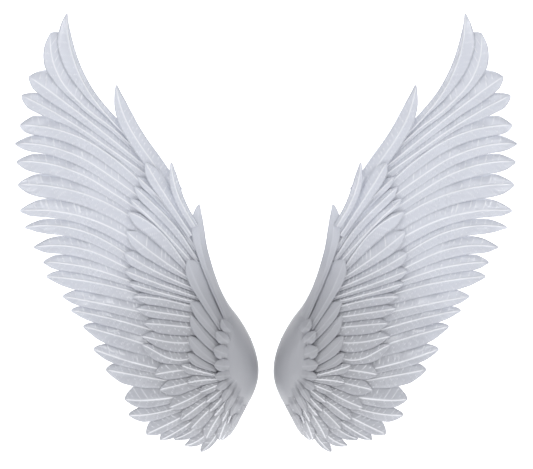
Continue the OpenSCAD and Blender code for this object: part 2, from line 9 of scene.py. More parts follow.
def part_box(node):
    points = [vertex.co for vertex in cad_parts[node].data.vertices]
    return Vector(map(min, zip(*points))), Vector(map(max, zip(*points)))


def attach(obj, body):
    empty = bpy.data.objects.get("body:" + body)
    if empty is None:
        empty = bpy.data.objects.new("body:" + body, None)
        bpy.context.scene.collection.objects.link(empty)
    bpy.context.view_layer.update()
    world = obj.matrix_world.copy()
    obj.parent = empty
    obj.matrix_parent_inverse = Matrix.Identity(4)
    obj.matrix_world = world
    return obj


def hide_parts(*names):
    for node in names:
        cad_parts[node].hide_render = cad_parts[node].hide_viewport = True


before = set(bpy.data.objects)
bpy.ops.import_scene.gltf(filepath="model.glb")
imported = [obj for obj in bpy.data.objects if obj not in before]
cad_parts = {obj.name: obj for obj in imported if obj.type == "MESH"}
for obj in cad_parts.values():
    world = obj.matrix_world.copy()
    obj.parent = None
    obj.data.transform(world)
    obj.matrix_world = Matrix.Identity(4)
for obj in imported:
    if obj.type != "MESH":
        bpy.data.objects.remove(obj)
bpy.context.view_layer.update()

bl_info = {
    "name": "Feathered Costume Wings",
    "version": (1, 0, 0),
    "blender": (4, 5, 0),
    "location": "View3D > Sidebar > Wings",
    "description": "Dresses a pair of hinged, feathered costume wings and their harness",
    "category": "Add Mesh",
}

SIDES = ("left", "right")


# ---------------------------------------------------------------- sizes and colours a user may change


class WingFeatherSettings(bpy.types.PropertyGroup):
    barb_spacing_root: bpy.props.FloatProperty(
        name="Barb spacing, root", description="Distance between moulded barb ribs near a feather's root",
        default=0.0085, min=0.004, max=0.03, unit="LENGTH", subtype="DISTANCE")
    barb_spacing_tip: bpy.props.FloatProperty(
        name="Barb spacing, tip", description="Distance between moulded barb ribs near a feather's tip",
        default=0.017, min=0.004, max=0.04, unit="LENGTH", subtype="DISTANCE")
    barb_sweep: bpy.props.FloatProperty(
        name="Barb sweep", description="How far a barb runs tipward for each unit it runs out from the shaft",
        default=0.75, min=0.0, max=2.0)
    barb_height: bpy.props.FloatProperty(
        name="Barb height", description="Height of a moulded barb rib",
        default=0.0009, min=0.0, max=0.003, unit="LENGTH", subtype="DISTANCE")
    shaft_height: bpy.props.FloatProperty(
        name="Shaft height", description="Height of the rib along a feather's shaft",
        default=0.0018, min=0.0, max=0.004, unit="LENGTH", subtype="DISTANCE")
    ripple: bpy.props.FloatProperty(
        name="Ripple", description="Height of the slow ripples that moulding leaves in a vane",
        default=0.0009, min=0.0, max=0.003, unit="LENGTH", subtype="DISTANCE")
    grain: bpy.props.FloatProperty(
        name="Mesh step", description="Length of one mesh step along a feather",
        default=0.0024, min=0.001, max=0.01, unit="LENGTH", subtype="DISTANCE")


class WingColourSettings(bpy.types.PropertyGroup):
    outer_hex: bpy.props.StringProperty(
        name="Feather ends", description="Colour of the feathers far from the shoulder", default="#D5D8E1")
    inner_hex: bpy.props.StringProperty(
        name="Shoulder", description="Colour of the shoulder and the feathers close to it", default="#ACADB2")
    # painted shade under the feathers' edges
    painted_shade_hex: bpy.props.StringProperty(
        name="Creases", description="Colour under the feathers' edges", default="#9C9DA8")
    # painted highlight along the crests of the ribs
    painted_highlight_hex: bpy.props.StringProperty(
        name="Ribs", description="Colour of the polished crests of the ribs", default="#F7F8FC")


class WingHarnessSettings(bpy.types.PropertyGroup):
    web_width: bpy.props.FloatProperty(
        name="Webbing width", description="Width of the strap webbing",
        default=0.025, min=0.015, max=0.04, unit="LENGTH", subtype="DISTANCE")
    web_thickness: bpy.props.FloatProperty(
        name="Webbing thickness", description="Thickness of the strap webbing",
        default=0.0016, min=0.0008, max=0.003, unit="LENGTH", subtype="DISTANCE")
    pad_width: bpy.props.FloatProperty(
        name="Shoulder pad width", description="Width of a padded shoulder sleeve",
        default=0.037, min=0.025, max=0.05, unit="LENGTH", subtype="DISTANCE")


# ---------------------------------------------------------------- small tools


def linear(hexcode, alpha=1.0):
    """An sRGB hex colour as linear RGBA."""
    digits = hexcode.lstrip("#")
    out = []
    for i in (0, 2, 4):
        v = int(digits[i:i + 2], 16) / 255
        out.append(v / 12.92 if v <= 0.04045 else ((v + 0.055) / 1.055) ** 2.4)
    return (*out, alpha)


def node(tree, kind, links=(), **settings):
    """Adds a node; sockets are set by name or number, links are (input, from_node, output)."""
    made = tree.nodes.new(kind)
    for key, value in settings.items():
        if key.startswith("in_"):
            name = key[3:]
            slot = made.inputs[int(name)] if name.isdigit() else made.inputs[name.replace("_", " ")]
            slot.default_value = value
        else:
            setattr(made, key, value)
    for name, source, output in links:
        tree.links.new(source.outputs[output], made.inputs[name])
    return made


def new_material(name):
    mat = bpy.data.materials.new(name)
    mat.use_nodes = True
    mat.node_tree.nodes.clear()
    return mat, mat.node_tree


def fade_from_shoulder(tree, inner, outer, near=0.06, far=0.42):
    """A colour that lightens from the middle of the shoulder outward."""
    where = node(tree, "ShaderNodeTexCoord")
    apart = node(tree, "ShaderNodeSeparateXYZ", [("Vector", where, "Object")])
    width = node(tree, "ShaderNodeMath", [(0, apart, "X")], operation="ABSOLUTE")
    shifted = node(tree, "ShaderNodeMath", [(0, width, 0)], operation="SUBTRACT", in_1=0.07)
    flat = node(tree, "ShaderNodeCombineXYZ", [("X", shifted, 0), ("Z", apart, "Z")])
    far_off = node(tree, "ShaderNodeVectorMath", [(0, flat, 0)], operation="LENGTH")
    fade = node(tree, "ShaderNodeMapRange", [("Value", far_off, "Value")], interpolation_type="SMOOTHSTEP",
                in_1=near, in_2=far)
    mixed = node(tree, "ShaderNodeMix", [("Factor", fade, "Result")], data_type="RGBA")
    mixed.inputs["A"].default_value = linear(inner)
    mixed.inputs["B"].default_value = linear(outer)
    return mixed


def finish_material(tree, shader):
    out = node(tree, "ShaderNodeOutputMaterial")
    tree.links.new(shader.outputs[0], out.inputs["Surface"])


def smooth_curve(x, y, at):
    """Monotone cubic through (x, y), read at the points `at`; y may have several columns."""
    x = np.asarray(x, float)
    y = np.asarray(y, float)
    flat = y.ndim == 1
    y = y[:, None] if flat else y
    h = np.diff(x)
    d = np.diff(y, axis=0) / h[:, None]
    m = np.zeros_like(y)
    m[0], m[-1] = d[0], d[-1]
    for k in range(1, len(x) - 1):
        same = d[k - 1] * d[k] > 0
        w1, w2 = 2 * h[k] + h[k - 1], h[k] + 2 * h[k - 1]
        with np.errstate(divide="ignore", invalid="ignore"):
            mean = (w1 + w2) / (w1 / d[k - 1] + w2 / d[k])
        m[k] = np.where(same, mean, 0.0)
    at = np.clip(np.asarray(at, float), x[0], x[-1])
    k = np.clip(np.searchsorted(x, at, side="right") - 1, 0, len(x) - 2)
    t = ((at - x[k]) / h[k])[:, None]
    hk = h[k][:, None]
    out = ((1 + 2 * t) * (1 - t) ** 2 * y[k] + t * (1 - t) ** 2 * hk * m[k]
           + t * t * (3 - 2 * t) * y[k + 1] + t * t * (t - 1) * hk * m[k + 1])
    return out[:, 0] if flat else out


def easy_curve(x, y, at):
    """Smooth (Catmull-Rom) curve through (x, y), read at `at`; it may swing past its points a little."""
    x = np.asarray(x, float)
    y = np.asarray(y, float)
    m = np.gradient(y, x, axis=0)
    at = np.clip(np.asarray(at, float), x[0], x[-1])
    k = np.clip(np.searchsorted(x, at, side="right") - 1, 0, len(x) - 2)
    h = (x[k + 1] - x[k])[:, None]
    t = (at - x[k])[:, None] / h
    return ((1 + 2 * t) * (1 - t) ** 2 * y[k] + t * (1 - t) ** 2 * h * m[k]
            + t * t * (3 - 2 * t) * y[k + 1] + t * t * (t - 1) * h * m[k + 1])


def ease(a, b, v):
    """A smooth step from 0 at a to 1 at b."""
    t = np.clip((v - a) / (b - a), 0, 1)
    return t * t * (3 - 2 * t)


def link_piece(bm, name, material, body, nodes):
    """A finished bmesh becomes an object at the origin that rides on its body."""
    mesh = bpy.data.meshes.new(name)
    bm.to_mesh(mesh)
    bm.free()
    return link_mesh(mesh, name, material, body, nodes)


def link_mesh(mesh, name, material, body, nodes):
    """A finished mesh becomes an object that rides on its body and stands for its CAD nodes."""
    mesh.materials.append(material)
    mesh.shade_smooth()
    mesh.set_sharp_from_angle(angle=math.radians(50))
    obj = bpy.data.objects.new(name, mesh)
    bpy.context.scene.collection.objects.link(obj)
    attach(obj, body)
    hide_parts(*nodes)
    return obj


def finish_node(name, material):
    """A CAD node whose shape is right keeps it and takes a better material."""
    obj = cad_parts[name]
    obj.data.materials.clear()
    obj.data.materials.append(material)


# ---------------------------------------------------------------- materials


def moulded_gloss_plastic(name, rough_root, rough_tip, coat):
    """Rigid PVC sheet, vacuum-moulded: glossy and a little wavy, with a painted highlight along its ribs and
    painted shade under its edges.
    """
    colours = bpy.context.scene.wing_colours
    mat, tree = new_material(name)
    painted_highlight_shade = node(tree, "ShaderNodeAttribute", attribute_name="painted_highlight_shade")
    reach = node(tree, "ShaderNodeAttribute", attribute_name="reach")
    where = node(tree, "ShaderNodeTexCoord")
    # slow cloudiness of the sheet, patches of about 90 mm
    cloud = node(tree, "ShaderNodeTexNoise", [("Vector", where, "Object")], in_Scale=11.0, in_Detail=2.0)
    tone = node(tree, "ShaderNodeMapRange", [("Value", cloud, "Fac")], in_3=0.965, in_4=1.03)
    face = fade_from_shoulder(tree, colours.inner_hex, colours.outer_hex)
    # painted shade: a darker colour mixed in where the attribute falls below 0, under the feathers' edges
    low = node(tree, "ShaderNodeMapRange", [("Value", painted_highlight_shade, "Fac")], in_1=0.0, in_2=-1.0)
    painted_crease_shade = node(tree, "ShaderNodeMix", [("Factor", low, "Result"), ("A", face, "Result")], data_type="RGBA")
    painted_crease_shade.inputs["B"].default_value = linear(colours.painted_shade_hex)
    # painted highlight: a near-white colour mixed in along the crests of the ribs and shafts
    base = node(tree, "ShaderNodeMix", [("Factor", painted_highlight_shade, "Fac"), ("A", painted_crease_shade, "Result")], data_type="RGBA")
    base.inputs["B"].default_value = linear(colours.painted_highlight_hex)
    tinted = node(tree, "ShaderNodeVectorMath", [(0, base, "Result")], operation="SCALE")
    tree.links.new(tone.outputs["Result"], tinted.inputs["Scale"])
    # gloss is higher toward the tips, where the tool was polished
    rough = node(tree, "ShaderNodeMapRange", [("Value", reach, "Fac")], in_3=rough_root, in_4=rough_tip)
    scuff = node(tree, "ShaderNodeTexNoise", [("Vector", where, "Object")], in_Scale=160.0, in_Detail=3.0)
    worn = node(tree, "ShaderNodeMath", [(0, scuff, "Fac"), (1, rough, "Result")], operation="MULTIPLY")
    lift = node(tree, "ShaderNodeMath", [(0, worn, 0), (1, rough, "Result")], operation="ADD")
    half = node(tree, "ShaderNodeMath", [(0, lift, 0)], operation="MULTIPLY", in_1=0.68)
    # fine barbs across the vane; real ones are under 1 mm apart, drawn 3 mm apart so that they show
    uv = node(tree, "ShaderNodeUVMap", uv_map="barbs")
    fine = node(tree, "ShaderNodeTexWave", [("Vector", uv, "UV")], bands_direction="X",
                in_Scale=0.314 / 0.003, in_Distortion=0.6, in_Detail=1.0)
    bump = node(tree, "ShaderNodeBump", [("Height", fine, "Fac")], in_Strength=0.22, in_Distance=0.0005)
    peel = node(tree, "ShaderNodeTexNoise", [("Vector", where, "Object")], in_Scale=420.0, in_Detail=1.0)
    skin = node(tree, "ShaderNodeBump", [("Height", peel, "Fac"), ("Normal", bump, "Normal")],
                in_Strength=0.12, in_Distance=0.0004)
    shader = node(tree, "ShaderNodeBsdfPrincipled",
                  [("Base Color", tinted, 0), ("Roughness", half, 0), ("Normal", skin, "Normal")],
                  in_IOR=1.53)
    shader.inputs["Coat Weight"].default_value = coat
    shader.inputs["Coat Roughness"].default_value = 0.05
    finish_material(tree, shader)
    return mat


def satin_shell_plastic():
    """The same plastic left satin: an even sheen with the faint orange peel of a cast tool."""
    colours = bpy.context.scene.wing_colours
    mat, tree = new_material("cast_satin_pvc")
    where = node(tree, "ShaderNodeTexCoord")
    cloud = node(tree, "ShaderNodeTexNoise", [("Vector", where, "Object")], in_Scale=14.0, in_Detail=3.0)
    face = fade_from_shoulder(tree, colours.inner_hex, colours.outer_hex)
    tone = node(tree, "ShaderNodeMapRange", [("Value", cloud, "Fac")], in_3=0.95, in_4=1.04)
    tinted = node(tree, "ShaderNodeVectorMath", [(0, face, "Result")], operation="SCALE")
    tree.links.new(tone.outputs["Result"], tinted.inputs["Scale"])
    peel = node(tree, "ShaderNodeTexNoise", [("Vector", where, "Object")], in_Scale=330.0, in_Detail=2.0)
    bump = node(tree, "ShaderNodeBump", [("Height", peel, "Fac")], in_Strength=0.16, in_Distance=0.0005)
    rough = node(tree, "ShaderNodeMapRange", [("Value", cloud, "Fac")], in_3=0.38, in_4=0.5)
    shader = node(tree, "ShaderNodeBsdfPrincipled",
                  [("Base Color", tinted, 0), ("Roughness", rough, "Result"), ("Normal", bump, "Normal")],
                  in_IOR=1.5)
    finish_material(tree, shader)
    return mat


def clear_polycarbonate():
    """Polished polycarbonate sheet: clear, with faint handling scratches that catch the light."""
    mat, tree = new_material("clear_polycarbonate")
    where = node(tree, "ShaderNodeTexCoord")
    hair = node(tree, "ShaderNodeTexNoise", [("Vector", where, "Object")], in_Scale=700.0, in_Detail=2.0)
    rough = node(tree, "ShaderNodeMapRange", [("Value", hair, "Fac")], in_3=0.01, in_4=0.05)
    shader = node(tree, "ShaderNodeBsdfPrincipled", [("Roughness", rough, "Result")], in_IOR=1.2)
    shader.inputs["Base Color"].default_value = linear("#FCFDFE")
    shader.inputs["Transmission Weight"].default_value = 1.0
    finish_material(tree, shader)
    return mat


def brushed_stainless():
    """Stainless sheet brushed along its length: fine lines 0.4 mm apart and a soft streaked shine."""
    mat, tree = new_material("brushed_stainless_steel")
    where = node(tree, "ShaderNodeTexCoord")
    long = node(tree, "ShaderNodeMapping", [("Vector", where, "Object")])
    long.inputs["Scale"].default_value = (2500.0, 2500.0, 60.0)
    lines = node(tree, "ShaderNodeTexNoise", [("Vector", long, "Vector")], in_Scale=1.0, in_Detail=2.0)
    rough = node(tree, "ShaderNodeMapRange", [("Value", lines, "Fac")], in_3=0.22, in_4=0.42)
    bump = node(tree, "ShaderNodeBump", [("Height", lines, "Fac")], in_Strength=0.25, in_Distance=0.0002)
    shader = node(tree, "ShaderNodeBsdfPrincipled",
                  [("Roughness", rough, "Result"), ("Normal", bump, "Normal")], in_Metallic=1.0)
    shader.inputs["Base Color"].default_value = linear("#B9BBBE")
    finish_material(tree, shader)
    return mat


def plated_steel():
    """Zinc-plated steel fixings: bright, slightly mottled plating."""
    mat, tree = new_material("zinc_plated_steel")
    where = node(tree, "ShaderNodeTexCoord")
    mottle = node(tree, "ShaderNodeTexVoronoi", [("Vector", where, "Object")], in_Scale=900.0)
    rough = node(tree, "ShaderNodeMapRange", [("Value", mottle, "Distance")], in_3=0.16, in_4=0.3)
    shader = node(tree, "ShaderNodeBsdfPrincipled", [("Roughness", rough, "Result")], in_Metallic=1.0)
    shader.inputs["Base Color"].default_value = linear("#C4C6CA")
    finish_material(tree, shader)
    return mat


def drawn_aluminium():
    """Drawn aluminium tube: satin, with long draw lines."""
    mat, tree = new_material("drawn_aluminium")
    where = node(tree, "ShaderNodeTexCoord")
    streak = node(tree, "ShaderNodeTexNoise", [("Vector", where, "Object")], in_Scale=240.0, in_Detail=3.0)
    rough = node(tree, "ShaderNodeMapRange", [("Value", streak, "Fac")], in_3=0.28, in_4=0.46)
    bump = node(tree, "ShaderNodeBump", [("Height", streak, "Fac")], in_Strength=0.1, in_Distance=0.0003)
    shader = node(tree, "ShaderNodeBsdfPrincipled",
                  [("Roughness", rough, "Result"), ("Normal", bump, "Normal")], in_Metallic=1.0)
    shader.inputs["Base Color"].default_value = linear("#C9CBCE")
    finish_material(tree, shader)
    return mat


def foamed_board(name, colour, cell):
    """Expanded PVC board or rigid foam: matt, with the fine closed cells of the cut face."""
    mat, tree = new_material(name)
    where = node(tree, "ShaderNodeTexCoord")
    cells = node(tree, "ShaderNodeTexVoronoi", [("Vector", where, "Object")], in_Scale=1.0 / cell)
    cloud = node(tree, "ShaderNodeTexNoise", [("Vector", where, "Object")], in_Scale=25.0, in_Detail=3.0)
    tone = node(tree, "ShaderNodeMix", [("Factor", cloud, "Fac")], data_type="RGBA")
    low = linear(colour)
    tone.inputs["A"].default_value = tuple(c * 0.92 for c in low[:3]) + (1.0,)
    tone.inputs["B"].default_value = low
    bump = node(tree, "ShaderNodeBump", [("Height", cells, "Distance")],
                in_Strength=0.35, in_Distance=0.0006)
    shader = node(tree, "ShaderNodeBsdfPrincipled",
                  [("Base Color", tone, "Result"), ("Normal", bump, "Normal")],
                  in_Roughness=0.62, in_IOR=1.46)
    finish_material(tree, shader)
    return mat


def acetal(name, colour):
    """Injection-moulded acetal: a dense white plastic with a dull shine and a fine spark-eroded grain."""
    mat, tree = new_material(name)
    where = node(tree, "ShaderNodeTexCoord")
    grain = node(tree, "ShaderNodeTexNoise", [("Vector", where, "Object")], in_Scale=1300.0, in_Detail=2.0)
    rough = node(tree, "ShaderNodeMapRange", [("Value", grain, "Fac")], in_3=0.3, in_4=0.45)
    bump = node(tree, "ShaderNodeBump", [("Height", grain, "Fac")], in_Strength=0.2, in_Distance=0.0002)
    shader = node(tree, "ShaderNodeBsdfPrincipled",
                  [("Roughness", rough, "Result"), ("Normal", bump, "Normal")], in_IOR=1.48)
    shader.inputs["Base Color"].default_value = linear(colour)
    finish_material(tree, shader)
    return mat


def woven_webbing():
    """Flat nylon webbing: ribs across its width 1.6 mm apart, crossed by lines along it 2.1 mm apart."""
    mat, tree = new_material("woven_nylon_webbing")
    uv = node(tree, "ShaderNodeUVMap", uv_map="weave")
    ribs = node(tree, "ShaderNodeTexWave", [("Vector", uv, "UV")], bands_direction="Y",
                in_Scale=0.314 / 0.0016, in_Distortion=0.4)
    warp = node(tree, "ShaderNodeTexWave", [("Vector", uv, "UV")], bands_direction="X",
                in_Scale=0.314 / 0.0021, in_Distortion=0.3)
    both = node(tree, "ShaderNodeMath", [(0, ribs, "Fac"), (1, warp, "Fac")], operation="MULTIPLY")
    # the colour follows the weave's height, darker in its hollows: painted shade
    tone = node(tree, "ShaderNodeMix", [("Factor", both, 0)], data_type="RGBA")
    tone.inputs["A"].default_value = linear("#C6C6CE")
    tone.inputs["B"].default_value = linear("#E6E6EC")
    bump = node(tree, "ShaderNodeBump", [("Height", both, 0)], in_Strength=0.6, in_Distance=0.0005)
    shader = node(tree, "ShaderNodeBsdfPrincipled",
                  [("Base Color", tone, "Result"), ("Normal", bump, "Normal")], in_Roughness=0.6)
    shader.inputs["Sheen Weight"].default_value = 0.25
    finish_material(tree, shader)
    return mat


def spacer_cloth(name, colour):
    """Spacer mesh over foam: a knitted face with small round cells 3.2 mm apart and a soft sheen."""
    mat, tree = new_material(name)
    where = node(tree, "ShaderNodeTexCoord")
    cells = node(tree, "ShaderNodeTexVoronoi", [("Vector", where, "Object")], in_Scale=1.0 / 0.0032)
    pit = node(tree, "ShaderNodeMapRange", [("Value", cells, "Distance")], in_1=0.15, in_2=0.45)
    # the colour darkens toward the middle of each cell, where the face dips: painted shade
    tone = node(tree, "ShaderNodeMix", [("Factor", pit, "Result")], data_type="RGBA")
    low = linear(colour)
    tone.inputs["A"].default_value = tuple(c * 0.72 for c in low[:3]) + (1.0,)
    tone.inputs["B"].default_value = low
    bump = node(tree, "ShaderNodeBump", [("Height", pit, "Result")], in_Strength=0.5, in_Distance=0.0008)
    shader = node(tree, "ShaderNodeBsdfPrincipled",
                  [("Base Color", tone, "Result"), ("Normal", bump, "Normal")], in_Roughness=0.8)
    shader.inputs["Sheen Weight"].default_value = 0.4
    finish_material(tree, shader)
    return mat


MATERIALS = {}


def material(key):
    """Each finish is made once and shared by the pieces that have it."""
    makers = {
        "gloss": lambda: moulded_gloss_plastic("vacuum_moulded_gloss_pvc", 0.4, 0.16, 0.3),
        "semi": lambda: moulded_gloss_plastic("vacuum_moulded_satin_pvc", 0.4, 0.34, 0.0),
        "shell": satin_shell_plastic,
        "clear": clear_polycarbonate,
        "brushed": brushed_stainless,
        "plated": plated_steel,
        "tube": drawn_aluminium,
        "board": lambda: foamed_board("expanded_pvc_board", "#D9D9E0", 0.0012),
        "foam": lambda: foamed_board("rigid_white_foam", "#DCDCE2", 0.0022),
        "acetal": lambda: acetal("moulded_white_acetal", "#E4E4EA"),
        "webbing": woven_webbing,
        "spacer": lambda: spacer_cloth("knitted_spacer_cloth", "#DADAE1"),
    }
    if key not in MATERIALS:
        MATERIALS[key] = makers[key]()
    return MATERIALS[key]


# ---------------------------------------------------------------- feathers


def islands(name):
    """The separate solids of a CAD node, each as an array of its corner points."""
    bm = bmesh.new()
    bm.from_mesh(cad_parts[name].data)
    bmesh.ops.remove_doubles(bm, verts=bm.verts, dist=1e-6)
    seen, found = set(), []
    for start in bm.verts:
        if start in seen:
            continue
        seen.add(start)
        queue, group = [start], []
        while queue:
            v = queue.pop()
            group.append(tuple(v.co))
            for e in v.link_edges:
                w = e.other_vert(v)
                if w not in seen:
                    seen.add(w)
                    queue.append(w)
        found.append(np.array(group))
    bm.free()
    return found


def shoulder_surface(side):
    """Reads how deep the shoulder's CAD shell lies behind points (x, z); nan where there is none."""
    bm = bmesh.new()
    bm.from_mesh(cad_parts[f"shoulder_shell_{side}"].data)
    tree = BVHTree.FromBMesh(bm)
    bm.free()

    def depth(x, z):
        out = np.full(len(x), np.nan)
        for k, (px, pz) in enumerate(zip(x, z)):
            hit = tree.ray_cast(Vector((px, -1.0, pz)), Vector((0, 1, 0)))
            if hit[0] is not None:
                out[k] = hit[0].y
        return out
    return depth


class FeatherForm:
    """One CAD feather read back as stations: shaft and both edges, front and back, root to tip."""

    def __init__(self, corners, side):
        out = 1.0 if side == "right" else -1.0
        plan = np.unique(np.round(corners[:, [0, 2]], 6), axis=0)
        gaps = np.sort(np.linalg.norm(plan[:, None] - plan[None], axis=2), axis=1)
        tip = plan[np.argmin(gaps[:, 2])]
        trio = plan[np.argsort(np.linalg.norm(plan - tip, axis=1))[:3]]
        across = trio[2] - trio[1]
        across /= np.linalg.norm(across)
        along = np.array([-across[1], across[0]])
        if (tip - plan.mean(axis=0)) @ along < 0:
            along = -along
        # +1 is the edge toward the feather before it in its row
        left = np.array([-along[1], along[0]]) * out
        place = plan @ along
        order = np.argsort(place)
        cuts = np.where(np.diff(place[order]) > 2.5e-4)[0]
        groups = np.split(order, cuts + 1)
        if any(len(g) != 3 for g in groups):
            raise RuntimeError(f"a feather has stations of {[len(g) for g in groups]} points")
        self.front, self.back, self.c = [], [], []
        for g in groups:
            g = g[np.argsort(-(plan[g] @ left))]
            rows = []
            for p in plan[g]:
                near = np.linalg.norm(corners[:, [0, 2]] - p, axis=1) < 2e-6
                ys = corners[near, 1]
                rows.append((p[0], ys.min(), ys.max(), p[1]))
            rows = np.array(rows)
            self.front.append(rows[:, [0, 1, 3]])
            self.back.append(rows[:, [0, 2, 3]])
            self.c.append(place[g].mean())
        self.front, self.back = np.array(self.front), np.array(self.back)
        self.c = np.array(self.c) - self.c[0]
        self.length = self.c[-1]
        self.lapped = 0.0

    def surface(self, u, t, front):
        """Points of the smooth feather at u across (-1 to 1) and t along (0 to 1)."""
        grid = self.front if front else self.back
        c = t * self.length
        mid = easy_curve(self.c, grid[:, 1], c)
        near = grid[:, 0] - grid[:, 1]
        far = grid[:, 2] - grid[:, 1]
        # measured by a root of the way to the tip, a rounded end is close to a straight line
        left, run = (1 - self.c / self.length) ** 0.75, (1 - t) ** 0.75
        edge_a = smooth_curve(-left, near, -run)
        edge_b = smooth_curve(-left, far, -run)
        # the edge that lies under the neighbour runs on farther below it, short of the free end
        edge_a = edge_a * (1 + self.lapped * (1 - ease(0.45, 0.75, t)))[:, None]
        edge = np.where((u > 0)[:, None], edge_a, edge_b)
        width = np.hypot(edge[:, 0], edge[:, 2])
        return mid + edge * np.abs(u)[:, None], width


def barb_relief(form, u, t, width, rng, sizes, plain):
    """Relief of a vane's front in metres, and a painted highlight (up to 1) on a crest and painted shade (down
    to -1) in a hollow.
    """
    c = t * form.length
    out = np.abs(u) * width
    run = c - sizes.barb_sweep * out + 0.12 * out * np.abs(u)
    s0, s1 = sizes.barb_spacing_root, sizes.barb_spacing_tip
    # spacing grows toward the tip; the count of ribs to a point is the integral of 1 / spacing
    k = (s1 - s0) / max(form.length, 0.12)
    count = np.log(np.maximum(s0 + k * run, 0.3 * s0) / s0) / k
    shift = np.where(u > 0, rng.uniform(0, 1), rng.uniform(0, 1))
    phase = count + shift + 0.16 * np.sin(count * 2.3 + rng.uniform(0, 6))
    saw = phase - np.floor(phase)
    gap = (s0 + k * np.maximum(run, 0)) * (1 - saw)
    ridge = np.exp(-(gap / 0.0011) ** 2)
    dip = np.exp(-((gap - 0.0022) / 0.0012) ** 2)
    lean = (saw - 0.5) * 0.8
    keep = ease(0.05, 0.2, np.abs(u)) * ease(0.0, 0.07, 1 - t)
    # the upper vane is ribbed more strongly than the lower one
    keep = keep * np.where(u > 0, 1.0, 0.62)
    barbs = (ridge - 0.5 * dip + lean) * keep
    # a raised rib for a shaft, with a fine crease on its upper side
    x = u * width
    rib = ease(0.0, 0.06, 1 - t)
    shaft = (np.exp(-(x / 0.0016) ** 2) - 0.3 * np.exp(-((x - 0.0032) / 0.0014) ** 2)) * rib
    # the vane above the shaft rolls back, the one below it is nearly flat
    slope = np.where(u > 0, 0.17 * u ** 1.6, 0.05 * u * u)
    crown = (0.06 - slope) * width
    a, b, d = rng.uniform(0, 6.28, 3)
    slow = (np.sin(c / 0.013 + 2.2 * u + a) + 0.8 * np.sin(c / 0.023 - 2.6 * u + b)
            + 0.7 * np.sin(c / 0.0085 + 3.1 * u + d))
    brim = ease(0.84, 1.0, np.abs(u)) * 0.0009
    rise = sizes.barb_height * (0.0 if plain else 1.0)
    ripple = sizes.ripple * (0.2 if plain else 0.3 + 1.3 * t * t)
    height = (rise * barbs + sizes.shaft_height * (0.25 if plain else 0.6) * shaft + crown
              + ripple * 0.5 * slow - brim)
    # painted highlight on the crests of the ribs and along the shaft is above 0, painted shade in the hollows
    # under the edges below it
    spine = np.exp(-(x / 0.0013) ** 2) * rib
    painted_highlight_shade = ((0.0 if plain else 0.75) * ridge * keep + (0.1 if plain else 0.9) * spine
             - 0.5 * ease(0.95, 1.0, np.abs(u)))
    return height, np.clip(painted_highlight_shade, -1, 1), run


def tucked(form, u, t, front):
    """The smooth feather's points, with its root run on straight where t is below 0."""
    p, width = form.surface(u, np.maximum(t, 0), front)
    first, _ = form.surface(u, np.zeros_like(t), front)
    second, _ = form.surface(u, np.full_like(t, 0.05), front)
    return p + (second - first) * (np.minimum(t, 0) / 0.05)[:, None], width


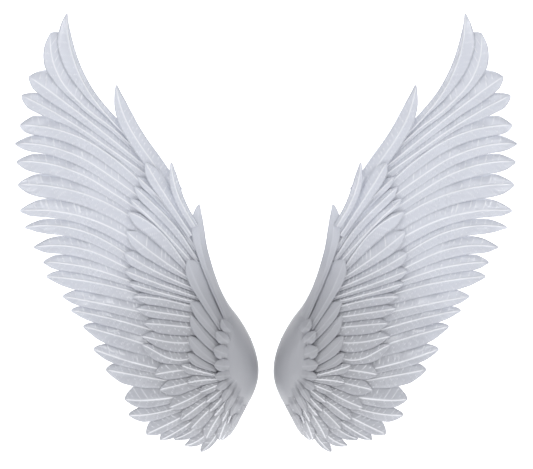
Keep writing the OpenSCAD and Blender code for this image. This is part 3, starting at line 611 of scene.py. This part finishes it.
def feather_piece(name, node_name, side, mat, seed, across=18, plain=False, sink=0.0, tuck=0.0,
                  lapped=0.0):
    """All the feathers of one row, each a closed moulded blade with a ribbed front.

    sink is the share of a feather's length over which its root melts into the shoulder.
    tuck is the share of its length by which the root runs on under the next tier.
    lapped is how much farther the covered edge reaches below the feather before it.
    """
    shoulder = shoulder_surface(side) if sink else None
    sizes = bpy.context.scene.wing_feathers
    forms = [FeatherForm(corners, side) for corners in islands(node_name)]
    forms.sort(key=lambda f: (-round(f.front[-1, 1, 2], 4), round(f.front[-1, 1, 0], 4)))
    bm = bmesh.new()
    for i, form in enumerate(forms):
        steps = max(16, int(form.length / sizes.grain))
        made = bmesh.ops.create_grid(bm, x_segments=across, y_segments=steps, size=1.0)
        bmesh.ops.translate(bm, verts=made["verts"], vec=(0, 0, 2.0 * i))
    grown = bmesh.ops.extrude_face_region(bm, geom=list(bm.faces))
    fresh = [v for v in grown["geom"] if isinstance(v, bmesh.types.BMVert)]
    bmesh.ops.translate(bm, verts=fresh, vec=(0, 0, -1.0))
    mesh = bpy.data.meshes.new(name)
    bm.to_mesh(mesh)
    bm.free()
    flat = np.empty(len(mesh.vertices) * 3)
    mesh.vertices.foreach_get("co", flat)
    flat = flat.reshape(-1, 3)
    which = np.ceil(np.round(flat[:, 2]) / 2).astype(int)
    is_front = np.round(flat[:, 2]).astype(int) % 2 == 0
    u = np.sign(flat[:, 0]) * np.abs(flat[:, 0]) ** 1.35
    t = np.clip((flat[:, 1] + 1) / 2, 0, 1)
    t = 1 - (1 - t) ** 1.12
    place = np.zeros_like(flat)
    painted_highlight_shade = np.zeros(len(flat))
    uv_run, uv_out = np.zeros(len(flat)), np.zeros(len(flat))
    for i, form in enumerate(forms):
        form.lapped = lapped if i else 0.0
        rng = np.random.default_rng(seed * 1000 + i)
        own = which == i
        f = own & is_front
        b = own & ~is_front
        along = t * (1 + tuck) - tuck
        p, width = tucked(form, u[f], along[f], True)
        height, painted_highlight_shade[f], run = barb_relief(form, u[f], np.maximum(along[f], 0), width, rng, sizes, plain)
        p[:, 1] -= height
        if sink:
            lap = t[f] < sink
            under = shoulder(p[lap, 0], p[lap, 2])
            under = np.where(np.isnan(under), p[lap, 1], under + 0.0006)
            share = 1 - ease(0.0, sink, t[f][lap])
            p[lap, 1] = p[lap, 1] * (1 - share) + np.maximum(under, p[lap, 1]) * share
        place[f] = p
        uv_run[f], uv_out[f] = run, np.abs(u[f]) * width
        q, width = tucked(form, u[b], along[b], False)
        if sink:
            q[:, 1] += 0.012 * (1 - ease(0.0, sink, t[b]))
        place[b] = q
        uv_run[b], uv_out[b] = t[b] * form.length, np.abs(u[b]) * width
    mesh.vertices.foreach_set("co", place.ravel())
    mesh.update()
    # the painted highlight and painted shade of each point, for the material
    mark = mesh.attributes.new("painted_highlight_shade", "FLOAT", "POINT")
    mark.data.foreach_set("value", painted_highlight_shade.astype(np.float32))
    reach = mesh.attributes.new("reach", "FLOAT", "POINT")
    reach.data.foreach_set("value", t.astype(np.float32))
    loops = np.empty(len(mesh.loops), int)
    mesh.loops.foreach_get("vertex_index", loops)
    uv = mesh.uv_layers.new(name="barbs")
    uv.data.foreach_set("uv", np.stack([uv_run[loops], uv_out[loops]], axis=1).ravel())
    bm = bmesh.new()
    bm.from_mesh(mesh)
    if bm.calc_volume(signed=True) < 0:
        bmesh.ops.reverse_faces(bm, faces=bm.faces)
    bm.to_mesh(mesh)
    bm.free()
    return link_mesh(mesh, name, mat, f"{side}_wing", [node_name])


class WINGS_OT_flight_feathers(bpy.types.Operator):
    """Builds the long glossy outer feathers of both wings"""
    bl_idname = "wings.flight_feathers"
    bl_label = "Flight Feathers"

    def execute(self, context):
        for side in SIDES:
            for j, row in enumerate(("primaries", "secondaries", "tertials")):
                feather_piece(f"{row}_{side}_moulded", f"{row}_{side}", side, material("gloss"),
                              seed=11 + j, across=18, lapped=0.8)
        return {"FINISHED"}


class WINGS_OT_coverts(bpy.types.Operator):
    """Builds the second and third tiers of feathers and those that stand free at the top"""
    bl_idname = "wings.coverts"
    bl_label = "Covert Feathers"

    def execute(self, context):
        for side in SIDES:
            for j, row in enumerate(("greater_coverts", "median_coverts", "leading_coverts")):
                feather_piece(f"{row}_{side}_moulded", f"{row}_{side}", side, material("semi"),
                              seed=31 + j, across=14, tuck=(0.1, 0.2, 0.16)[j])
        return {"FINISHED"}


class WINGS_OT_shoulder_feathers(bpy.types.Operator):
    """Builds the smooth feathers along the inner edge and the small round ones on the shoulder"""
    bl_idname = "wings.shoulder_feathers"
    bl_label = "Shoulder Feathers"

    def execute(self, context):
        for side in SIDES:
            for j, row in enumerate(("scapulars", "lesser_coverts")):
                feather_piece(f"{row}_{side}_moulded", f"{row}_{side}", side, material("semi"),
                              seed=51 + j, across=14, plain=True, sink=(0.14, 0.5)[j],
                              tuck=(0.2, 0.1)[j])
        return {"FINISHED"}


# ---------------------------------------------------------------- shoulder shell


class WINGS_OT_shoulder_shells(bpy.types.Operator):
    """Builds the smooth rounded shoulder of each wing over its CAD shell"""
    bl_idname = "wings.shoulder_shells"
    bl_label = "Shoulder Shells"

    def execute(self, context):
        for side in SIDES:
            out = 1.0 if side == "right" else -1.0
            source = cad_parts[f"shoulder_shell_{side}"]
            bm = bmesh.new()
            bm.from_mesh(source.data)
            bmesh.ops.remove_doubles(bm, verts=bm.verts, dist=1e-6)
            tree = BVHTree.FromBMesh(bm)
            points = np.array([v.co[:] for v in bm.verts])
            bm.free()
            heights = np.unique(np.round(points[:, 2], 5))
            # shares of the way in from the rim, close together where the shell rolls over
            share = np.array([0, .008, .02, .04, .07, .11, .15, .21, .27, .35, .43, .52, .62, .72, .81, .9, 1])
            rim, foot, depth = [], [], []
            for z in heights:
                own = points[np.abs(points[:, 2] - z) < 2e-5]
                a = np.abs(own[:, 0])
                lo, hi = a.min(), a.max()
                rim.append(lo)
                foot.append(hi)
                z_in = z + (2e-4 if z < 0 else -2e-4)
                row = []
                for s in share:
                    x = lo + (hi - lo) * min(max(s, 0.003), 0.985)
                    hit = tree.ray_cast(Vector((out * x, -1.0, z_in)), Vector((0, 1, 0)))
                    row.append(hit[0].y if hit[0] is not None else np.nan)
                row = np.array(row)
                good = ~np.isnan(row)
                row = np.interp(share, share[good], row[good])
                row[0] = own[np.argmin(a), 1]
                depth.append(row)
            rim, foot, depth = np.array(rim), np.array(foot), np.array(depth)
            bm = bmesh.new()
            made = bmesh.ops.create_grid(bm, x_segments=56, y_segments=150, size=1.0)
            grown = bmesh.ops.extrude_face_region(bm, geom=list(bm.faces))
            fresh = [v for v in grown["geom"] if isinstance(v, bmesh.types.BMVert)]
            bmesh.ops.translate(bm, verts=fresh, vec=(0, 0, -1.0))
            verts = list(bm.verts)
            co = np.array([v.co[:] for v in verts])
            u = ((co[:, 0] + 1) / 2) ** 1.9
            v = (co[:, 1] + 1) / 2
            z = heights[0] + (heights[-1] - heights[0]) * v
            lo = easy_curve(heights, rim[:, None], z)[:, 0]
            hi = easy_curve(heights, foot[:, None], z)[:, 0]
            rows = easy_curve(heights, depth, z)
            y = np.array([smooth_curve(share, row, [s])[0] for row, s in zip(rows, u)])
            inner = co[:, 2] < -0.5
            wall = 0.0024
            steep = np.clip(1 - u / 0.25, 0, 1)
            x = lo + (hi - lo) * u + np.where(inner, wall * steep, 0)
            y = y + np.where(inner, wall * (1 - steep ** 4), 0)
            for vert, px, py, pz in zip(verts, x * out, y, z):
                vert.co = (px, py, pz)
            bmesh.ops.recalc_face_normals(bm, faces=bm.faces)
            link_piece(bm, f"shoulder_shell_{side}_smooth", material("shell"), f"{side}_wing",
                       [f"shoulder_shell_{side}"])
        return {"FINISHED"}


# ---------------------------------------------------------------- harness and hardware


class WINGS_OT_hardware(bpy.types.Operator):
    """Gives the yoke plate, hinges, fixings, spars and boards their finishes"""
    bl_idname = "wings.hardware"
    bl_label = "Hardware"

    def execute(self, context):
        finish_node("yoke_plate", material("clear"))
        for name in ("hinge_screws", "clamp_screws"):
            finish_node(name, material("plated"))
        for name in ("strap_clamps", "strap_sliders"):
            finish_node(name, material("acetal"))
        for side in SIDES:
            finish_node(f"yoke_hinge_{side}", material("brushed"))
            finish_node(f"wing_hinge_{side}", material("brushed"))
            finish_node(f"hinge_pin_{side}", material("plated"))
            finish_node(f"leaf_rivets_{side}", material("plated"))
            finish_node(f"spars_{side}", material("tube"))
            finish_node(f"spar_saddles_{side}", material("board"))
            finish_node(f"root_board_{side}", material("board"))
            finish_node(f"formers_{side}", material("foam"))
        return {"FINISHED"}


# the runs of webbing on the right side, in metres, from clamp to slider and from slider to clamp
UPPER_RUN = [
    (0.056, 0.00095, 0.049), (0.056, 0.00095, 0.071), (0.062, 0.006, 0.086), (0.080, 0.019, 0.108),
    (0.098, 0.034, 0.134), (0.114, 0.056, 0.155), (0.124, 0.086, 0.166), (0.127, 0.116, 0.159),
    (0.125, 0.142, 0.136), (0.121, 0.160, 0.102), (0.116, 0.171, 0.056), (0.113, 0.174, 0.006),
    (0.112, 0.173, -0.024),
]
LOWER_RUN = [
    (0.111, 0.1725, -0.040), (0.109, 0.168, -0.066), (0.104, 0.152, -0.094), (0.096, 0.122, -0.116),
    (0.085, 0.084, -0.122), (0.071, 0.042, -0.110), (0.061, 0.012, -0.094), (0.056, 0.00245, -0.079),
    (0.056, 0.00095, -0.070), (0.056, 0.00095, -0.049),
]


def smooth_run(points, step=0.003):
    """A run of points as an evenly stepped smooth curve, with its length to each point."""
    points = np.array(points, float)
    far = np.concatenate([[0], np.cumsum(np.linalg.norm(np.diff(points, axis=0), axis=1))])
    n = max(8, int(far[-1] / step))
    at = np.linspace(0, far[-1], n)
    return easy_curve(far, points, at), at


def ribbon_bmesh(curve, at, width, thickness, offset=0.0, across=10):
    """A flat strip along a curve, its width along X; offset is how far it stands off the curve."""
    bm = bmesh.new()
    bmesh.ops.create_grid(bm, x_segments=across, y_segments=len(curve) - 1, size=1.0)
    grown = bmesh.ops.extrude_face_region(bm, geom=list(bm.faces))
    fresh = [v for v in grown["geom"] if isinstance(v, bmesh.types.BMVert)]
    bmesh.ops.translate(bm, verts=fresh, vec=(0, 0, -1.0))
    layer = bm.loops.layers.uv.new("weave")
    tangent = np.gradient(curve, axis=0)
    tangent[:, 0] = 0
    tangent /= np.linalg.norm(tangent, axis=1)[:, None]
    over = np.stack([np.zeros(len(curve)), tangent[:, 2], -tangent[:, 1]], axis=1)
    flat = {v: (v.co.x, v.co.y, v.co.z) for v in bm.verts}
    for v, (u, w, z) in flat.items():
        k = int(round((w + 1) / 2 * (len(curve) - 1)))
        side = 1 if z > -0.5 else -1
        lift = offset + side * thickness / 2 * (1 - 0.35 * abs(u) ** 6)
        v.co = curve[k] + np.array([u * width / 2, 0, 0]) + over[k] * lift
    for face in bm.faces:
        for loop in face.loops:
            u, w, z = flat[loop.vert]
            k = int(round((w + 1) / 2 * (len(curve) - 1)))
            loop[layer].uv = (u * width / 2, at[k])
    return bm


def mirrored(bm, side):
    if side == "left":
        bmesh.ops.scale(bm, verts=bm.verts, vec=(-1, 1, 1))
    bmesh.ops.recalc_face_normals(bm, faces=bm.faces)
    return bm


class WINGS_OT_straps(bpy.types.Operator):
    """Builds the webbing over the shoulders and under the arms"""
    bl_idname = "wings.straps"
    bl_label = "Straps"

    def execute(self, context):
        sizes = context.scene.wing_harness
        for side in SIDES:
            for name, run in (("strap", UPPER_RUN), ("lower_strap", LOWER_RUN)):
                curve, at = smooth_run(run)
                bm = ribbon_bmesh(curve, at, sizes.web_width, sizes.web_thickness)
                link_piece(mirrored(bm, side), f"{name}_{side}_webbing", material("webbing"), "yoke",
                           [f"{name}_{side}"])
        return {"FINISHED"}


def puff_up(obj, pressure, cap, frames=20, voxel=0.004):
    """Cloth under a little pressure swells the piece; no point may move further than cap."""
    mod = obj.modifiers.new("voxels", "REMESH")
    mod.mode, mod.voxel_size = "VOXEL", voxel
    bake(obj)
    before = np.array([v.co[:] for v in obj.data.vertices])
    cloth = obj.modifiers.new("swell", "CLOTH")
    cloth.settings.use_pressure = True
    cloth.settings.uniform_pressure_force = pressure
    cloth.settings.effector_weights.gravity = 0
    cloth.point_cache.frame_start, cloth.point_cache.frame_end = 1, frames
    scene = bpy.context.scene
    for f in range(1, frames + 1):
        scene.frame_set(f)
    bake(obj)
    scene.frame_set(1)
    after = np.array([v.co[:] for v in obj.data.vertices])
    move = after - before
    far = np.linalg.norm(move, axis=1)
    scale = np.minimum(1, cap / np.maximum(far, 1e-9))
    obj.data.vertices.foreach_set("co", (before + move * scale[:, None]).ravel())
    obj.data.update()
    mod = obj.modifiers.new("round", "SUBSURF")
    mod.levels = mod.render_levels = 1
    bake(obj)
    obj.data.shade_smooth()
    return obj


def bake(obj):
    """Applies every modifier into the object's mesh."""
    deps = bpy.context.evaluated_depsgraph_get()
    deps.update()
    mesh = bpy.data.meshes.new_from_object(obj.evaluated_get(deps))
    old = obj.data
    obj.modifiers.clear()
    obj.data = mesh
    mesh.name = old.name
    bpy.data.meshes.remove(old)


class WINGS_OT_pads(bpy.types.Operator):
    """Builds the padded shoulder sleeves and the two foam back pads"""
    bl_idname = "wings.pads"
    bl_label = "Pads"

    def execute(self, context):
        sizes = context.scene.wing_harness
        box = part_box("back_pads")
        low, high = Vector(box[0]), Vector(box[1])
        for side in SIDES:
            curve, at = smooth_run(UPPER_RUN[4:11])
            bm = ribbon_bmesh(curve, at, sizes.pad_width - 0.003, 0.0052, offset=0.0052, across=12)
            pad = link_piece(mirrored(bm, side), f"shoulder_pad_{side}_sleeve", material("spacer"), "yoke",
                             [f"shoulder_pad_{side}"])
            puff_up(pad, 3.0, 0.0012, voxel=0.004)
        bm = bmesh.new()
        for out in (1, -1):
            w, h, t = high.x - 0.022, high.z - low.z, high.y
            made = bmesh.ops.create_cube(bm, size=1.0)
            bmesh.ops.scale(bm, verts=made["verts"], vec=(w - 0.002, t - 0.0012, h - 0.002))
            bmesh.ops.translate(bm, verts=made["verts"], vec=(out * (0.022 + w / 2), t / 2 + 0.0003, 0))
        upright = [e for e in bm.edges
                   if abs(e.verts[0].co.y - e.verts[1].co.y) > 0.005]
        bmesh.ops.bevel(bm, geom=upright, offset=0.013, offset_type="OFFSET", segments=8, profile=0.5,
                        affect="EDGES", material=-1)
        outer = [e for e in bm.edges if all(v.co.y > high.y - 0.002 for v in e.verts)]
        bmesh.ops.bevel(bm, geom=outer, offset=0.0045, offset_type="OFFSET", segments=5, profile=0.5,
                        affect="EDGES", material=-1)
        faces = [f for f in bm.faces if f.normal.y > 0.95 and f.calc_area() > 0.001]
        for inset in (0.006, 0.0015):
            bmesh.ops.inset_region(bm, faces=faces, thickness=inset, depth=-0.0008 if inset < 0.002 else 0.0)
        bmesh.ops.inset_region(bm, faces=faces, thickness=0.0015, depth=0.0009)
        bmesh.ops.recalc_face_normals(bm, faces=bm.faces)
        pads = link_piece(bm, "back_pads_foam", material("spacer"), "yoke", ["back_pads"])
        return {"FINISHED"}


# ---------------------------------------------------------------- stage


def area_light(name, place, target, size, power, size_y):
    """A rectangular white soft light that looks at its target."""
    light = bpy.data.lights.new(name, "AREA")
    light.shape = "RECTANGLE"
    light.size, light.size_y = size, size_y
    light.energy = power
    obj = bpy.data.objects.new(name, light)
    obj.location = place
    obj.rotation_euler = (Vector(target) - Vector(place)).to_track_quat("-Z", "Y").to_euler()
    bpy.context.scene.collection.objects.link(obj)


class WINGS_OT_stage(bpy.types.Operator):
    """Sets a pale floor that curves up behind the wings, soft lights and the camera"""
    bl_idname = "wings.stage"
    bl_label = "Stage"

    def execute(self, context):
        scene = context.scene
        floor_z = -1.25
        bm = bmesh.new()
        made = bmesh.ops.create_grid(bm, x_segments=1, y_segments=1, size=1.0)
        bmesh.ops.scale(bm, verts=made["verts"], vec=(14, 9, 1))
        bmesh.ops.translate(bm, verts=made["verts"], vec=(0, -5.0, floor_z))
        back = [e for e in bm.edges if all(v.co.y > 3.9 for v in e.verts)]
        bmesh.ops.spin(bm, geom=back, cent=(0, 4.0, floor_z + 1.5), axis=(1, 0, 0), dvec=(0, 0, 0),
                       angle=math.pi / 2, steps=16)
        top = [e for e in bm.edges if all(v.co.y > 5.4 for v in e.verts) and e.is_boundary
               and abs(e.verts[0].co.z - e.verts[1].co.z) < 1e-4]
        grown = bmesh.ops.extrude_edge_only(bm, edges=top)
        bmesh.ops.translate(bm, verts=[v for v in grown["geom"] if isinstance(v, bmesh.types.BMVert)],
                            vec=(0, 0, 7))
        mesh = bpy.data.meshes.new("pale_floor")
        bm.to_mesh(mesh)
        bm.free()
        mat, tree = new_material("pale_matt_paper")
        shader = node(tree, "ShaderNodeBsdfPrincipled", in_Roughness=0.9)
        shader.inputs["Base Color"].default_value = linear("#F4F4F4")
        shader.inputs["Emission Color"].default_value = (1, 1, 1, 1)
        shader.inputs["Emission Strength"].default_value = 0.8
        finish_material(tree, shader)
        mesh.materials.append(mat)
        mesh.shade_smooth()
        floor = bpy.data.objects.new("pale_floor", mesh)
        scene.collection.objects.link(floor)

        world = bpy.data.worlds.new("soft_room")
        world.use_nodes = True
        world.node_tree.nodes["Background"].inputs["Color"].default_value = linear("#F2F4FA")
        world.node_tree.nodes["Background"].inputs["Strength"].default_value = 0.3
        scene.world = world
        area_light("soft_high", (0, -3.6, 2.0), (0, 0, 0.35), 3.0, 12, size_y=0.9)
        area_light("glint_left", (-1.5, -2.9, 1.75), (-0.3, 0, 0.4), 0.7, 9, size_y=0.35)
        area_light("glint_right", (1.5, -2.9, 1.75), (0.3, 0, 0.4), 0.7, 9, size_y=0.35)
        area_light("soft_top", (0, -0.9, 3.2), (0, 0, 0.2), 2.4, 16, size_y=1.2)
        area_light("soft_left", (-3.4, -2.2, 1.0), (-0.2, 0, 0.2), 1.0, 9, size_y=1.8)
        area_light("soft_right", (3.4, -2.2, 1.0), (0.2, 0, 0.2), 1.0, 9, size_y=1.8)

        cam = bpy.data.cameras.new("camera")
        cam.lens = 151.7
        cam.sensor_width = 36.0
        camera = bpy.data.objects.new("camera", cam)
        camera.location = (0.001, -5.0, 0.298)
        camera.rotation_euler = (math.pi / 2, 0, 0)
        scene.collection.objects.link(camera)
        scene.camera = camera
        scene.view_settings.view_transform = "Standard"
        return {"FINISHED"}


# ---------------------------------------------------------------- panel and running


class WINGS_PT_panel(bpy.types.Panel):
    """Lists the steps that dress the wings"""
    bl_label = "Feathered Wings"
    bl_idname = "WINGS_PT_panel"
    bl_space_type = "VIEW_3D"
    bl_region_type = "UI"
    bl_category = "Wings"

    def draw(self, context):
        scene = context.scene
        for group in (scene.wing_feathers, scene.wing_colours, scene.wing_harness):
            box = self.layout.box()
            for name in group.bl_rna.properties.keys():
                if name not in ("rna_type", "name"):
                    box.prop(group, name)
        for op in STEPS:
            self.layout.operator(op.bl_idname)


STEPS = (
    WINGS_OT_stage, WINGS_OT_flight_feathers, WINGS_OT_coverts, WINGS_OT_shoulder_feathers,
    WINGS_OT_shoulder_shells, WINGS_OT_hardware, WINGS_OT_straps, WINGS_OT_pads,
)
GROUPS = (WingFeatherSettings, WingColourSettings, WingHarnessSettings)


def register():
    for cls in (*GROUPS, *STEPS, WINGS_PT_panel):
        bpy.utils.register_class(cls)
    bpy.types.Scene.wing_feathers = bpy.props.PointerProperty(type=WingFeatherSettings)
    bpy.types.Scene.wing_colours = bpy.props.PointerProperty(type=WingColourSettings)
    bpy.types.Scene.wing_harness = bpy.props.PointerProperty(type=WingHarnessSettings)


def unregister():
    del bpy.types.Scene.wing_feathers
    del bpy.types.Scene.wing_colours
    del bpy.types.Scene.wing_harness
    for cls in reversed((*GROUPS, *STEPS, WINGS_PT_panel)):
        bpy.utils.unregister_class(cls)


def main():
    register()
    bpy.ops.wings.stage()
    bpy.ops.wings.flight_feathers()
    bpy.ops.wings.coverts()
    bpy.ops.wings.shoulder_feathers()
    bpy.ops.wings.shoulder_shells()
    bpy.ops.wings.hardware()
    bpy.ops.wings.straps()
    bpy.ops.wings.pads()


if __name__ == "__main__":
    main()
